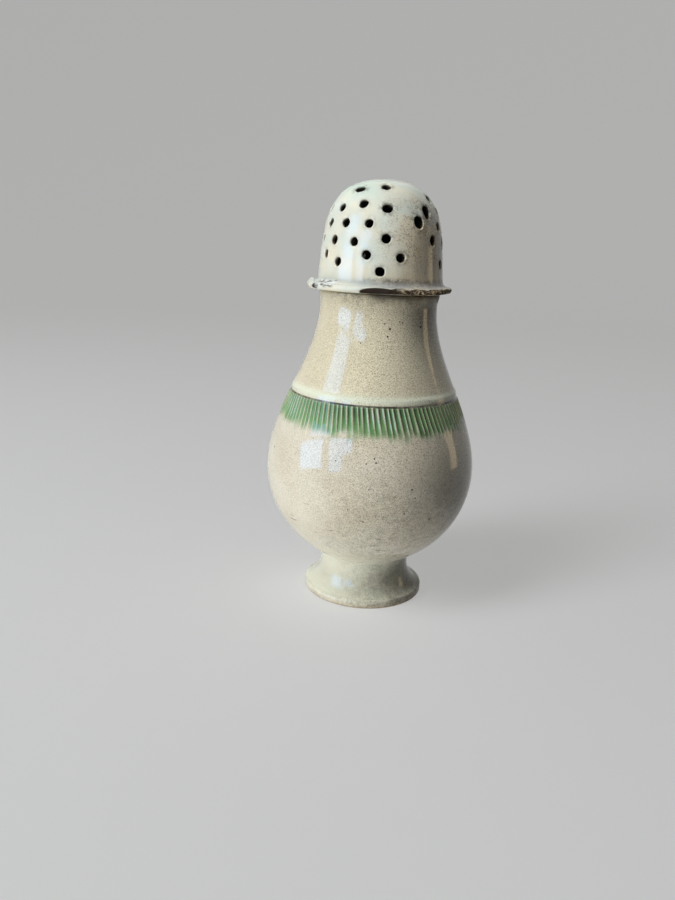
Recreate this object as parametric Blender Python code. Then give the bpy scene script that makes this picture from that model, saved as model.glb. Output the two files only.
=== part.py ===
"""Pepper pot of glazed earthenware, 120 mm high.

A thrown pot with a reeded band, a pierced domed top luted onto its neck, and a cork
that closes the filling hole under its foot. Metres, +Z up, origin at the middle of
the foot, with the front of the pot towards -Y.
"""

import math

import bmesh
import bpy
from mathutils import Matrix, Vector

# Foot and filling hole, from the hole outwards
FILLING_HOLE_RADIUS = 0.0078
HOLE_LAND = 0.0026
FOOT_WALL = 0.0030
FOOT_SPREAD = 0.0045
FOOT_RING = 0.0036
FOOT_EDGE = 0.0024
FOOT_ROUNDING = 0.0005
FOOT_SWEEP = 0.0066
STEM_RISE = 0.0035
STEM_FLARE = 0.0005

# Bulb, shoulder and neck, from the foot upwards
BULB_RADIUS = 0.0307
BULB_DEPTH = 0.0267
SHOULDER_HEIGHT = 0.0468
SHOULDER_FULLNESS = 0.0160
NECK_EASE = 0.0151
NECK_RADIUS = 0.0167
MOUTH_RISE = 0.0040
MOUTH_FLARE = 0.0004
WALL = 0.0030
FLOOR = 0.0040
FLOOR_LAND = 0.0023

# Reeded band on the shoulder, with a cut line and a plain bead above it
BAND_RISE = 0.0155
BAND_HEIGHT = 0.0064
FLUTES = 112
FLUTE_LEAN = math.radians(10)
FLUTE_DEPTH = 0.00045
# Share of the way down a flute, and share of its full depth there
FLUTE_SHAPE = ((0.06, 0.8), (0.2, 1.0), (0.7, 1.0), (0.94, 0.4))
LINE_WIDTH = 0.0008
LINE_DEPTH = 0.0005
BEAD_HEIGHT = 0.0021
BEAD_SWELL = 0.0003

# Domed top: a flange that sits on the neck, a spigot inside it, and the dome
SEAT_GAP = 0.0003
FLANGE_THICKNESS = 0.0018
FLANGE_REACH = 0.0027
FILLET_RISE = 0.0016
SPIGOT_GAP = 0.0003
SPIGOT_WALL = 0.0018
SPIGOT_DEPTH = 0.0022
DOME_STEP = 0.0005
DOME_WALL = 0.0027
DOME_SIDE = 0.0093
DOME_LEAN = 0.0009
CROWN_HEIGHT = 0.0170
CROWN_FULLNESS = 0.67

# Holes pierced in the dome by hand: staggered rows, a ring on the crown, one low hole
PIERCING_RADIUS = 0.0012
PIERCINGS_PER_ROW = 14
PIERCING_START = 0.0062
PIERCING_PITCH = 0.0041
CROWN_RING_RADIUS = 0.0112
CROWN_PIERCINGS = 9
LOW_PIERCING_TURN = math.radians(-3)
LOW_PIERCING_DROP = 0.0039
CROWN = -1
# Places, by row and count from the front, that were never pierced: a bare patch
MISSED = {(0, 1), (1, 1), (2, 0), (3, 1), (CROWN, 1)}
# Holes that went astray: row and place, then degrees turned and metres raised
STRAYS = {
    (0, 0): (2, -0.0002),
    (0, 2): (3, -0.0017),
    (0, 5): (4, 0.0006),
    (0, 7): (8, -0.0004),
    (0, 8): (-4, 0.0007),
    (0, 12): (-6, -0.0019),
    (0, 13): (-3, 0.0002),
    (1, 0): (1, 0.0004),
    (1, 2): (0, 0.0004),
    (1, 6): (-4, -0.0006),
    (1, 7): (10, 0.0),
    (1, 8): (10, -0.0008),
    (1, 9): (12, 0.0005),
    (1, 12): (-1, -0.0004),
    (1, 13): (-3, -0.0007),
    (2, 1): (-5, 0.0009),
    (2, 2): (1, 0.0),
    (2, 5): (8, 0.0005),
    (2, 7): (10, 0.0),
    (2, 8): (11, -0.0006),
    (2, 12): (-2, 0.0),
    (2, 13): (-3, 0.0),
    (3, 0): (1, 0.0),
    (3, 2): (-5, -0.0004),
    (3, 5): (11, 0.0),
    (3, 7): (6, 0.0005),
    (3, 9): (8, 0.0),
    (3, 13): (1, 0.0011),
    (CROWN, 0): (-1, 0.0012),
    (CROWN, 2): (-16, -0.0023),
    (CROWN, 8): (2, 0.0),
}

# Cork, a cone that widens downwards as its hole does
CORK_GAP = 0.0003
CORK_TAPER = 0.10
CORK_INSIDE = 0.0040
CORK_LIFT = 0.0045
CORK_CHAMFER = 0.0006

# Facets
OUTER_SIDES = 48
INNER_SIDES = 32
PIERCING_SIDES = 8
SHARP_ANGLE = math.radians(40)

# Places that follow from the sizes above
WAIST_RADIUS = FILLING_HOLE_RADIUS + HOLE_LAND + FOOT_WALL
FOOT_RADIUS = WAIST_RADIUS + FOOT_SPREAD
STEM_RADIUS = WAIST_RADIUS + STEM_FLARE
WAIST_LEVEL = FOOT_EDGE + FOOT_SWEEP
STEM_LEVEL = WAIST_LEVEL + STEM_RISE
BULB_LEVEL = STEM_LEVEL + BULB_DEPTH
NECK_LEVEL = BULB_LEVEL + SHOULDER_HEIGHT
MOUTH_LEVEL = NECK_LEVEL + MOUTH_RISE
MOUTH_RADIUS = NECK_RADIUS + MOUTH_FLARE
BAND_LEVEL = BULB_LEVEL + BAND_RISE
LINE_LEVEL = BAND_LEVEL + BAND_HEIGHT
BEAD_LEVEL = LINE_LEVEL + LINE_WIDTH
UNDER_FLANGE = MOUTH_LEVEL + SEAT_GAP
FLANGE_TOP = UNDER_FLANGE + FLANGE_THICKNESS
DOME_LEVEL = FLANGE_TOP + FILLET_RISE
DOME_RADIUS = MOUTH_RADIUS + DOME_STEP
CROWN_LEVEL = DOME_LEVEL + DOME_SIDE
CROWN_RADIUS = DOME_RADIUS - DOME_LEAN
APEX_LEVEL = CROWN_LEVEL + CROWN_HEIGHT


def bezier(start, start_handle, end_handle, end, steps):
    """Points (radius, height) along a curve segment, both ends included."""
    points = []
    for step in range(steps + 1):
        t = step / steps
        u = 1 - t
        weights = (u * u * u, 3 * u * u * t, 3 * u * t * t, t * t * t)
        corners = (start, start_handle, end_handle, end)
        radius = sum(w * c[0] for w, c in zip(weights, corners))
        height = sum(w * c[1] for w, c in zip(weights, corners))
        points.append((radius, height))
    return points


def ellipse(centre, radii, first, last, steps):
    """Points of an elliptical arc from angle first to last, both ends included."""
    points = []
    for step in range(steps + 1):
        angle = first + (last - first) * step / steps
        radius = centre[0] + radii[0] * math.cos(angle)
        height = centre[1] + radii[1] * math.sin(angle)
        points.append((radius, height))
    return points


def inset(points, depth):
    """The same line moved towards the axis side by depth, for a line that runs down."""
    moved = []
    for index, (radius, height) in enumerate(points):
        before = points[max(index - 1, 0)]
        after = points[min(index + 1, len(points) - 1)]
        along = Vector((after[0] - before[0], after[1] - before[1])).normalized()
        moved.append((radius + depth * along.y, height - depth * along.x))
    return moved


def radius_at(points, level):
    """Radius of a line that runs down, at a height between its ends."""
    for upper, lower in zip(points, points[1:]):
        if upper[1] >= level >= lower[1]:
            share = (upper[1] - level) / (upper[1] - lower[1])
            return upper[0] + share * (lower[0] - upper[0])
    raise ValueError(f"no point of the line at height {level}")


def spread(first, last, steps):
    """Evenly spaced values from first to last, both included."""
    return [first + (last - first) * step / steps for step in range(steps + 1)]


def add_ring(bm, radius, height, sides, ripple=0.0, turn=0.0):
    """A ring of points that starts at turn from the front; every second one is sunk by ripple."""
    ring = []
    for side in range(sides):
        angle = turn + 2 * math.pi * side / sides
        reach = radius - ripple * (side % 2)
        ring.append(bm.verts.new((reach * math.sin(angle), -reach * math.cos(angle), height)))
    return ring


def add_pole(bm, height):
    """A ring of one point on the axis."""
    return [bm.verts.new((0.0, 0.0, height))]


def stitch(bm, upper, lower):
    """Faces between two rings of any two counts, for a wall that runs down outside."""
    above = 0
    below = 0
    while above < len(upper) or below < len(lower):
        next_above = (above + 1) / len(upper)
        next_below = (below + 1) / len(lower)
        corners = [upper[above % len(upper)], lower[below % len(lower)]]
        if next_below <= next_above:
            below += 1
            corners.append(lower[below % len(lower)])
        if next_above <= next_below:
            above += 1
            corners.append(upper[above % len(upper)])
        if len(set(corners)) > 2:
            bm.faces.new(list(dict.fromkeys(corners)))


def stitch_all(bm, rings):
    for upper, lower in zip(rings, rings[1:]):
        stitch(bm, upper, lower)


def surface(name, colour, roughness):
    """A plain finish of one colour, not metallic."""
    material = bpy.data.materials.new(name)
    material.use_nodes = True
    shader = material.node_tree.nodes["Principled BSDF"]
    shader.inputs["Base Color"].default_value = (*colour, 1.0)
    shader.inputs["Roughness"].default_value = roughness
    shader.inputs["Metallic"].default_value = 0.0
    material.diffuse_color = (*colour, 1.0)
    return material


def add_object(name, bm, material, parent, level=0.0):
    """An object made from bm, with its origin on the axis at the given level."""
    bmesh.ops.translate(bm, verts=bm.verts, vec=(0.0, 0.0, -level))
    mesh = bpy.data.meshes.new(name)
    bm.to_mesh(mesh)
    bm.free()
    mesh.materials.append(material)
    mesh.shade_smooth()
    mesh.set_sharp_from_angle(angle=SHARP_ANGLE)
    obj = bpy.data.objects.new(name, mesh)
    bpy.context.scene.collection.objects.link(obj)
    obj.parent = parent
    obj.location = (0.0, 0.0, level)
    return obj


def clear_scene():
    for obj in list(bpy.data.objects):
        bpy.data.objects.remove(obj, do_unlink=True)


def shoulder_line(steps):
    """Outside of the pot from the neck's narrowest ring down to the bulb's widest."""
    return bezier(
        (NECK_RADIUS, NECK_LEVEL),
        (NECK_RADIUS, NECK_LEVEL - NECK_EASE),
        (BULB_RADIUS, BULB_LEVEL + SHOULDER_FULLNESS),
        (BULB_RADIUS, BULB_LEVEL),
        steps,
    )


def bulb_half_height():
    """Height of the ellipse that the lower bulb follows until it meets the foot."""
    return BULB_DEPTH / math.sqrt(1 - (STEM_RADIUS / BULB_RADIUS) ** 2)


def inner_bulb():
    """Radius and half height of the hollow inside the lower bulb."""
    return BULB_RADIUS - WALL, bulb_half_height() - WALL


def floor_radius():
    """Radius of the flat floor around the filling hole."""
    return FILLING_HOLE_RADIUS + FLOOR_LAND


def floor_angle():
    """Angle below level at which the hollow's wall reaches the floor."""
    return math.acos(floor_radius() / inner_bulb()[0])


def floor_level():
    return BULB_LEVEL - inner_bulb()[1] * math.sin(floor_angle())


def ceiling_level():
    """Underside of the floor, seen from below inside the foot."""
    return floor_level() - FLOOR


def hole_radius(level):
    """Radius of the filling hole, which narrows upwards with the cork's taper."""
    return FILLING_HOLE_RADIUS - CORK_TAPER * (level - ceiling_level())


def add_shoulder_rings(bm):
    """Rings from the neck to the widest: plain, bead, cut line, flutes and plain again."""
    line = shoulder_line(steps=60)
    rings = []

    def plain(level, swell=0.0):
        rings.append(add_ring(bm, radius_at(line, level) + swell, level, OUTER_SIDES))

    def fluted(share, depth):
        drop = share * BAND_HEIGHT
        radius = radius_at(line, LINE_LEVEL - drop)
        turn = drop * math.tan(FLUTE_LEAN) / radius
        ripple = depth * FLUTE_DEPTH
        rings.append(add_ring(bm, radius, LINE_LEVEL - drop, 2 * FLUTES, ripple, turn))

    bead_top = BEAD_LEVEL + BEAD_HEIGHT
    for level in spread(NECK_LEVEL, bead_top, steps=8):
        plain(level)
    for level in spread(bead_top, BEAD_LEVEL, steps=4)[1:]:
        share = (bead_top - level) / BEAD_HEIGHT
        plain(level, BEAD_SWELL * math.sin(math.pi * share))
    plain(BEAD_LEVEL - LINE_WIDTH / 2, -LINE_DEPTH)
    plain(LINE_LEVEL)
    for share, depth in FLUTE_SHAPE:
        fluted(share, depth)
    for level in spread(BAND_LEVEL, BULB_LEVEL, steps=6):
        plain(level)
    return rings


def lower_outside():
    """Outside of the pot from below the widest to the flat ring that it stands on."""
    half_height = bulb_half_height()
    end = -math.acos(STEM_RADIUS / BULB_RADIUS)
    points = ellipse((0.0, BULB_LEVEL), (BULB_RADIUS, half_height), 0.0, end, steps=10)[1:]
    stem_bend = (WAIST_RADIUS, WAIST_LEVEL + STEM_RISE / 2)
    stem_end = (WAIST_RADIUS, WAIST_LEVEL)
    points += bezier((STEM_RADIUS, STEM_LEVEL), stem_bend, stem_bend, stem_end, steps=3)[1:]
    sweep_bend = (WAIST_RADIUS, FOOT_EDGE + FOOT_SWEEP / 2)
    edge_bend = (FOOT_RADIUS - FOOT_SPREAD / 2, FOOT_EDGE)
    points += bezier(stem_end, sweep_bend, edge_bend, (FOOT_RADIUS, FOOT_EDGE), steps=5)[1:]
    points.append((FOOT_RADIUS, FOOT_ROUNDING))
    points.append((FOOT_RADIUS - FOOT_ROUNDING, 0.0))
    return points


def underside_and_inside():
    """From the foot's ring up through the filling hole and the hollow to the mouth."""
    radius, half_height = inner_bulb()
    ceiling = ceiling_level()
    points = [
        (FOOT_RADIUS - FOOT_RING, 0.0),
        (FILLING_HOLE_RADIUS + HOLE_LAND, ceiling),
        (FILLING_HOLE_RADIUS, ceiling),
        (hole_radius(floor_level()), floor_level()),
    ]
    points += ellipse((0.0, BULB_LEVEL), (radius, half_height), -floor_angle(), 0.0, steps=9)
    points += reversed(inset(shoulder_line(steps=12), WALL)[:-1])
    points.append((MOUTH_RADIUS - WALL, MOUTH_LEVEL))
    return points


def make_pot_body(parent):
    bm = bmesh.new()
    rings = [add_ring(bm, MOUTH_RADIUS, MOUTH_LEVEL, OUTER_SIDES)]
    rings += add_shoulder_rings(bm)
    rings += [add_ring(bm, radius, level, OUTER_SIDES) for radius, level in lower_outside()]
    rings += [add_ring(bm, radius, level, INNER_SIDES) for radius, level in underside_and_inside()]
    stitch_all(bm, rings + rings[:1])
    material = surface("pot_glaze", colour=(0.56, 0.46, 0.32), roughness=0.22)
    return add_object("pot_body", bm, material, parent)


def dome_line(side_steps, crown_steps):
    """Outside of the dome from its apex down to where the flange's fillet begins."""
    lean = DOME_LEAN / DOME_SIDE
    rise = CROWN_FULLNESS * CROWN_HEIGHT
    crown = bezier(
        (0.0, APEX_LEVEL),
        (CROWN_FULLNESS * CROWN_RADIUS, APEX_LEVEL),
        (CROWN_RADIUS - lean * rise, CROWN_LEVEL + rise),
        (CROWN_RADIUS, CROWN_LEVEL),
        crown_steps,
    )
    levels = spread(CROWN_LEVEL, DOME_LEVEL, side_steps)[1:]
    return crown + [(DOME_RADIUS - lean * (level - DOME_LEVEL), level) for level in levels]


def flange_line():
    """Fillet, rounded rim and underside of the flange, then the spigot's outside."""
    rim = FLANGE_THICKNESS / 2
    rim_centre = (DOME_RADIUS + FLANGE_REACH - rim, UNDER_FLANGE + rim)
    fillet_centre = (rim_centre[0], DOME_LEVEL)
    fillet_radii = (rim_centre[0] - DOME_RADIUS, FILLET_RISE)
    points = ellipse(fillet_centre, fillet_radii, math.pi, 1.5 * math.pi, steps=4)[1:]
    points += ellipse(rim_centre, (rim, rim), math.pi / 2, -math.pi / 2, steps=6)[1:]
    spigot_radius = MOUTH_RADIUS - WALL - SPIGOT_GAP
    points.append((spigot_radius, UNDER_FLANGE))
    points.append((spigot_radius, UNDER_FLANGE - SPIGOT_DEPTH))
    return points


def dome_inside():
    """From the spigot's lower edge up to the last ring below the inner apex."""
    spigot_bore = MOUTH_RADIUS - WALL - SPIGOT_GAP - SPIGOT_WALL
    points = [(spigot_bore, UNDER_FLANGE - SPIGOT_DEPTH), (spigot_bore, UNDER_FLANGE)]
    points += reversed(inset(dome_line(side_steps=3, crown_steps=6), DOME_WALL)[1:])
    return points


def point_along(line, length):
    """Point and outward direction at a length measured up a line that runs down."""
    climb = line[::-1]
    for lower, upper in zip(climb, climb[1:]):
        step = Vector((upper[0] - lower[0], upper[1] - lower[1]))
        if length <= step.length:
            point = Vector(lower) + step.normalized() * length
            return point, Vector((step.y, -step.x)).normalized()
        length -= step.length
    raise ValueError("length runs past the end of the line")


def length_to_radius(line, radius):
    """Length measured up a line that runs down, to where it has closed in to radius."""
    length = 0.0
    climb = line[::-1]
    for lower, upper in zip(climb, climb[1:]):
        step = (Vector(upper) - Vector(lower)).length
        if upper[0] <= radius:
            return length + step * (lower[0] - radius) / (lower[0] - upper[0])
        length += step
    return length


def row_piercings(row, length, places, stagger):
    """The holes of one row, each as its length up the dome and its turn from the front."""
    holes = []
    for place in range(places):
        if (row, place) in MISSED:
            continue
        degrees, rise = STRAYS.get((row, place), (0, 0.0))
        turn = 2 * math.pi * (place + stagger) / places + math.radians(degrees)
        holes.append((length + rise, turn))
    return holes


def piercings(line):
    """Every hole of the dome, on a line that runs down its outside."""
    crown_length = length_to_radius(line, CROWN_RING_RADIUS)
    rows = int((crown_length - PIERCING_START) / PIERCING_PITCH)
    holes = [(PIERCING_START - LOW_PIERCING_DROP, LOW_PIERCING_TURN)]
    for row in range(rows):
        length = PIERCING_START + row * PIERCING_PITCH
        stagger = 0.5 if row % 2 == 0 else 0.0
        holes += row_piercings(row, length, PIERCINGS_PER_ROW, stagger)
    return holes + row_piercings(CROWN, crown_length, CROWN_PIERCINGS, stagger=0.0)


def make_piercing_tool(parent):
    """Every pin that pierces the dome, as one guide that isn't part of the pot."""
    bm = bmesh.new()
    line = dome_line(side_steps=24, crown_steps=48)
    for length, turn in piercings(line):
        point, outward = point_along(line, length)
        middle = point - outward * DOME_WALL / 2
        place = Vector((middle.x * math.sin(turn), -middle.x * math.cos(turn), middle.y))
        aim = Vector((outward.x * math.sin(turn), -outward.x * math.cos(turn), outward.y))
        bmesh.ops.create_cone(
            bm,
            cap_ends=True,
            segments=PIERCING_SIDES,
            radius1=PIERCING_RADIUS,
            radius2=PIERCING_RADIUS,
            depth=2 * DOME_WALL,
            matrix=Matrix.Translation(place) @ aim.to_track_quat("Z", "Y").to_matrix().to_4x4(),
        )
    material = surface("tool_grey", colour=(0.5, 0.5, 0.5), roughness=0.5)
    tool = add_object("piercing_tool", bm, material, parent)
    tool.hide_render = True
    tool.display_type = "WIRE"
    return tool


def make_domed_top(parent):
    bm = bmesh.new()
    outside = dome_line(side_steps=4, crown_steps=8)
    rings = [add_pole(bm, APEX_LEVEL)]
    rings += [add_ring(bm, radius, level, OUTER_SIDES) for radius, level in outside[1:] + flange_line()]
    rings += [add_ring(bm, radius, level, INNER_SIDES) for radius, level in dome_inside()]
    rings.append(add_pole(bm, APEX_LEVEL - DOME_WALL))
    stitch_all(bm, rings)
    material = surface("top_glaze", colour=(0.62, 0.55, 0.42), roughness=0.22)
    top = add_object("domed_top", bm, material, parent)
    pierce = top.modifiers.new("pierce", "BOOLEAN")
    pierce.operation = "DIFFERENCE"
    pierce.solver = "EXACT"
    pierce.object = make_piercing_tool(parent)
    return top


def make_cork_bung(parent):
    """The cork, with its origin where the filling hole's axis leaves its lower end."""
    bm = bmesh.new()
    upper_level = floor_level() + CORK_INSIDE
    upper_radius = hole_radius(upper_level) - CORK_GAP
    lower_radius = hole_radius(CORK_LIFT) - CORK_GAP
    line = [
        (upper_radius - CORK_CHAMFER, upper_level),
        (upper_radius, upper_level - CORK_CHAMFER),
        (lower_radius, CORK_LIFT + CORK_CHAMFER),
        (lower_radius - CORK_CHAMFER, CORK_LIFT),
    ]
    rings = [add_pole(bm, upper_level)]
    rings += [add_ring(bm, radius, level, INNER_SIDES) for radius, level in line]
    rings.append(add_pole(bm, CORK_LIFT))
    stitch_all(bm, rings)
    material = surface("cork", colour=(0.42, 0.25, 0.12), roughness=0.9)
    return add_object("cork_bung", bm, material, parent, level=CORK_LIFT)


def main():
    clear_scene()
    pot = bpy.data.objects.new("pepper_pot", None)
    bpy.context.scene.collection.objects.link(pot)
    make_pot_body(pot)
    make_domed_top(pot)
    make_cork_bung(pot)


main()
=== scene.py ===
"""Looks of the glazed earthenware pepper pot: fine meshes, finishes, light and camera.

Metres, in the part's own frame: +Z up, origin under the middle of the foot, front towards
-Y. A turn is an angle round the axis, counted from the front towards +X.
"""

import math

import bmesh
import bpy
import numpy as np
from mathutils import Matrix


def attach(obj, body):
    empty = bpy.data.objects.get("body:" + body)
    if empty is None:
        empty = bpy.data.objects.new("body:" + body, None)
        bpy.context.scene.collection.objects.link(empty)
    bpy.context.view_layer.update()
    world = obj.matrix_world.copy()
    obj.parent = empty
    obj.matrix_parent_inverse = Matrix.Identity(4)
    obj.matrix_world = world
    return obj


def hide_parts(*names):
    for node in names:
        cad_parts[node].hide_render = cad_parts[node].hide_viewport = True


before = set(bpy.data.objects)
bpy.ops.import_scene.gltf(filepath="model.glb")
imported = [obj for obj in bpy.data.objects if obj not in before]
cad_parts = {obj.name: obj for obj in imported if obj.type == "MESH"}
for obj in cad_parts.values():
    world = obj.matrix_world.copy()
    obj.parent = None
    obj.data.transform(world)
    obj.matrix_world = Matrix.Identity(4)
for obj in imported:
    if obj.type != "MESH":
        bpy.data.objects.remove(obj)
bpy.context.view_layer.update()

# Sizes of the solids that the fine meshes follow
FILLING_HOLE_RADIUS = 0.0078
WAIST_RADIUS = 0.0134
FOOT_RADIUS = 0.0179
FOOT_RING = 0.0036
FOOT_EDGE = 0.0024
FOOT_ROUNDING = 0.0005
WAIST_LEVEL = 0.0090
STEM_RADIUS = 0.0139
STEM_LEVEL = 0.0125
BULB_RADIUS = 0.0307
BULB_LEVEL = 0.0392
SHOULDER_FULLNESS = 0.0160
NECK_RADIUS = 0.0167
NECK_LEVEL = 0.0860
NECK_EASE = 0.0151
MOUTH_RADIUS = 0.0171
MOUTH_LEVEL = 0.0900
WALL = 0.0030
FLOOR = 0.0040
FLOOR_LAND = 0.0023
UNDER_FLANGE = 0.0903
FLANGE_THICKNESS = 0.0018
FLANGE_RADIUS = 0.0203
SPIGOT_RADIUS = 0.0138
SPIGOT_BORE = 0.0120
SPIGOT_DEPTH = 0.0022
DOME_RADIUS = 0.0176
DOME_LEVEL = 0.0937
DOME_WALL = 0.0027
CROWN_RADIUS = 0.0167
CROWN_LEVEL = 0.1030
CROWN_FULLNESS = 0.67
APEX_LEVEL = 0.1200
CORK_TAPER = 0.10
CORK_GAP = 0.0003
CORK_INSIDE = 0.0040
CORK_LIFT = 0.0045
# Heights that follow from these sizes, where the bulb meets the stem and its hollow the floor
BULB_HALF_HEIGHT = (BULB_LEVEL - STEM_LEVEL) / math.sqrt(1 - (STEM_RADIUS / BULB_RADIUS) ** 2)
HOLLOW_RADII = (BULB_RADIUS - WALL, BULB_HALF_HEIGHT - WALL)
FLOOR_REACH = FILLING_HOLE_RADIUS + FLOOR_LAND
FLOOR_LEVEL = BULB_LEVEL - HOLLOW_RADII[1] * math.sqrt(1 - (FLOOR_REACH / HOLLOW_RADII[0]) ** 2)
CEILING_LEVEL = FLOOR_LEVEL - FLOOR
CORK_TOP = FLOOR_LEVEL + CORK_INSIDE

# Reeded band, with a cut line and a bead above it
REEDS = 112
REED_LEAN = math.radians(10)
REED_DEPTH = 0.00036
BAND_LEVEL = 0.0547
LINE_LEVEL = 0.0611
CUT_LEVEL = 0.0615
CUT_WIDTH = 0.00036
CUT_DEPTH = 0.00030
BEAD_LEVEL = 0.0630
BEAD_WIDTH = 0.0011
BEAD_SWELL = 0.0002
BLEED = 0.0016
BAND_TOP = BEAD_LEVEL + 2 * BEAD_WIDTH
BAND_BOTTOM = BAND_LEVEL - BLEED
# Depth, and dark pooled glaze with painted shade, across one pitch: a narrow crest between flat floors,
# with painted shade on its right
REED_SECTION = np.array([1.0, 0.60, 0.0, 0.20, 0.70, 0.95, 1.0, 1.0])
REED_SHADE = np.array([0.40, 0.0, 0.0, 0.45, 1.0, 0.95, 0.75, 0.55])
REED_COLUMNS = len(REED_SECTION)
REED_CREST = int(REED_SECTION.argmin())
# What the hand leaves uneven: shift in pitches, lower and upper ends in metres, share of depth
REED_SHIFT = 0.17
REED_ENDS = (-0.0015, 0.0008)
REED_STARTS = (0.0, 0.0003)
REED_STRENGTH = (0.80, 1.0)
REED_FADE = 0.0030
REED_STOP = 0.0004

# Holes pierced in the dome, as in the solids
PIERCING_RADIUS = 0.0012
PIERCINGS_PER_ROW = 14
PIERCING_ROWS = 4
PIERCING_START = 0.0062
PIERCING_PITCH = 0.0041
CROWN_RING_RADIUS = 0.0112
CROWN_PIERCINGS = 9
LOW_PIERCING_TURN = math.radians(-3)
LOW_PIERCING_LENGTH = 0.0023
CROWN = -1
MISSED = {(0, 1), (1, 1), (2, 0), (3, 1), (CROWN, 1)}
# Holes off their even places, by row and place: degrees round and metres up
STRAYS = {
    0: {0: (2, -0.0002), 2: (3, -0.0017), 5: (4, 0.0006), 7: (8, -0.0004), 8: (-4, 0.0007),
        12: (-6, -0.0019), 13: (-3, 0.0002)},
    1: {0: (1, 0.0004), 2: (0, 0.0004), 6: (-4, -0.0006), 7: (10, 0.0), 8: (10, -0.0008),
        9: (12, 0.0005), 12: (-1, -0.0004), 13: (-3, -0.0007)},
    2: {1: (-5, 0.0009), 2: (1, 0.0), 5: (8, 0.0005), 7: (10, 0.0), 8: (11, -0.0006),
        12: (-2, 0.0), 13: (-3, 0.0)},
    3: {0: (1, 0.0), 2: (-5, -0.0004), 5: (11, 0.0), 7: (6, 0.0005), 9: (8, 0.0), 13: (1, 0.0011)},
    CROWN: {0: (-1, 0.0012), 2: (-16, -0.0023), 8: (2, 0.0)},
}
# Holes torn wider as they were pierced: row and place, then growth across and up
TORN = {
    (2, 1): (1.25, 1.40),
    (3, 2): (1.20, 1.65),
    (3, 0): (1.15, 0.95),
    (CROWN, 8): (1.30, 1.00),
    (1, 2): (1.05, 1.20),
}

# Pits in the pot's glaze: turn in degrees, height and radius, and how deep their middles lie
POCK_SINK = 0.00008
POCKS = (
    (9, 0.0813, 0.00040), (7, 0.0793, 0.00032), (4, 0.0826, 0.00024), (18, 0.0832, 0.00022),
    (21, 0.0830, 0.00026), (41, 0.0818, 0.00038), (41, 0.0829, 0.00026), (-16, 0.0773, 0.00022),
    (-68, 0.0460, 0.00030), (-20, 0.0474, 0.00024), (0, 0.0488, 0.00028), (1, 0.0478, 0.00030),
    (-4, 0.0474, 0.00024), (20, 0.0407, 0.00034), (22, 0.0383, 0.00024), (-2, 0.0407, 0.00022),
    (-12, 0.0346, 0.00022), (33, 0.0313, 0.00036), (17, 0.0339, 0.00030), (-4, 0.0313, 0.00026),
    (150, 0.0440, 0.00034), (205, 0.0720, 0.00030),
)

# Unevenness of the thrown wall, which fades out at the foot and the mouth
SWAY_SIZE = 0.022
SWAY_DEPTH = 0.00012
RIPPLE_SIZE = 0.011
RIPPLE_DEPTH = 0.00005
DENTED = ((0.0003, 0.004), (MOUTH_LEVEL, MOUTH_LEVEL - 0.003))

# Heights between which patches on the pot come or go, and turns in degrees for the soot and painted shadow
GREEN_WASH = (0.0588, 0.0556)
POOL_UNDER_BULB = (0.026, 0.015)
POOL_AT_WAIST = (0.0145, 0.0115)
POOL_LIMIT = 0.03
# Dirt with painted shadow under the flange
STAIN_AND_SHADOW_UNDER_FLANGE = (0.0845, 0.0900)
STAIN_LOW = (0.050, 0.036)
STAIN_AT_FOOT = (0.0030, 0.0005)
# Soot and painted shadow on the neck under the broken flange
SOOT_AND_SHADOW_LEVELS = (0.0874, 0.0893)
SOOT_AND_SHADOW_TURNS = ((-22, -4), (105, 75))
BARE_FOOT = (0.0006, 0.0002)
FOOT_HOLLOW = (0.0002, 0.0010)
# The pot's inside above these heights is painted dark as shade
DARK_INSIDE = (0.0125, 0.0135)
NECK_TINT = (0.052, 0.066)
SCRATCHED = ((0.042, 0.030), (0.012, 0.018))

# The same for the top: distances and depths at its holes, a middle and a width at fillet and seam
HOLE_RIM = (0.00025, 0.0)
HOLE_SIDE = (0.0001, 0.0005)
HOLE_DEEP = (0.0006, 0.0014)
HOLE_DIRT = (0.0014, 0.0001)
FILLET_POOL = (DOME_LEVEL - 0.0010, 0.0009)
SEAM_RING = (DOME_LEVEL + 0.0001, 0.0005)
SEAM_TURNS = ((-25, 5), (105, 75))
TIP_TURN = -54
TIP_REACH = (16, 9)
TIP_LEVELS = ((0.0936, 0.0928), (0.0910, 0.0915))
FRECKLED = ((0.0950, 0.1000), (0.1180, 0.1120))
CROWN_LEVELS = (0.1125, 0.1190)
# Turns in degrees between which the chips' painted shade fades out towards the right
SHADED_CHIP = (34, 8)
BUFF_LOW = (0.114, 0.094)
BUFF_RIGHT = (0.1135, 0.1060)

# Fineness of the meshes and the noise
PLAIN_STEP = 0.0012
BAND_STEP = 0.00035
FOOT_STEP = 0.0007
INNER_STEP = 0.0020
INNER_SIDES = 112
INNER_ROUNDING = 0.00025
DOME_STEP = 0.0002
DOME_VOXEL = 0.000335
CORK_STEP = 0.00035
CORK_SIDES = 144
CORK_EDGE = 0.0006
CORK_END = 0.0002
STAGE_SIDES = 128
NOISE_CELLS = 32

# Camera of the photograph
CAMERA_PLACE = (-0.009748, -0.220052, 0.102646)
CAMERA_PITCH = math.radians(15.208)
CAMERA_ROLL = math.radians(2.70)
CAMERA_LENS = 30.4


# Numbers and lines

def held(values):
    """Values kept between 0 and 1."""
    return np.clip(values, 0.0, 1.0)


def smooth(low, high, values):
    """0 below low, 1 above high and an even S-curve between, or the reverse if low is higher."""
    share = held((values - low) / (high - low))
    return share * share * (3 - 2 * share)


def window(rise, fall, values):
    """1 between a rise and a fall, each given as a range, and 0 beyond them."""
    return smooth(*rise, values) * smooth(*fall, values)


def bell(values, middle, width):
    """1 at the middle, falling to 0 on both sides."""
    return np.exp(-((values - middle) / width) ** 2)


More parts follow.
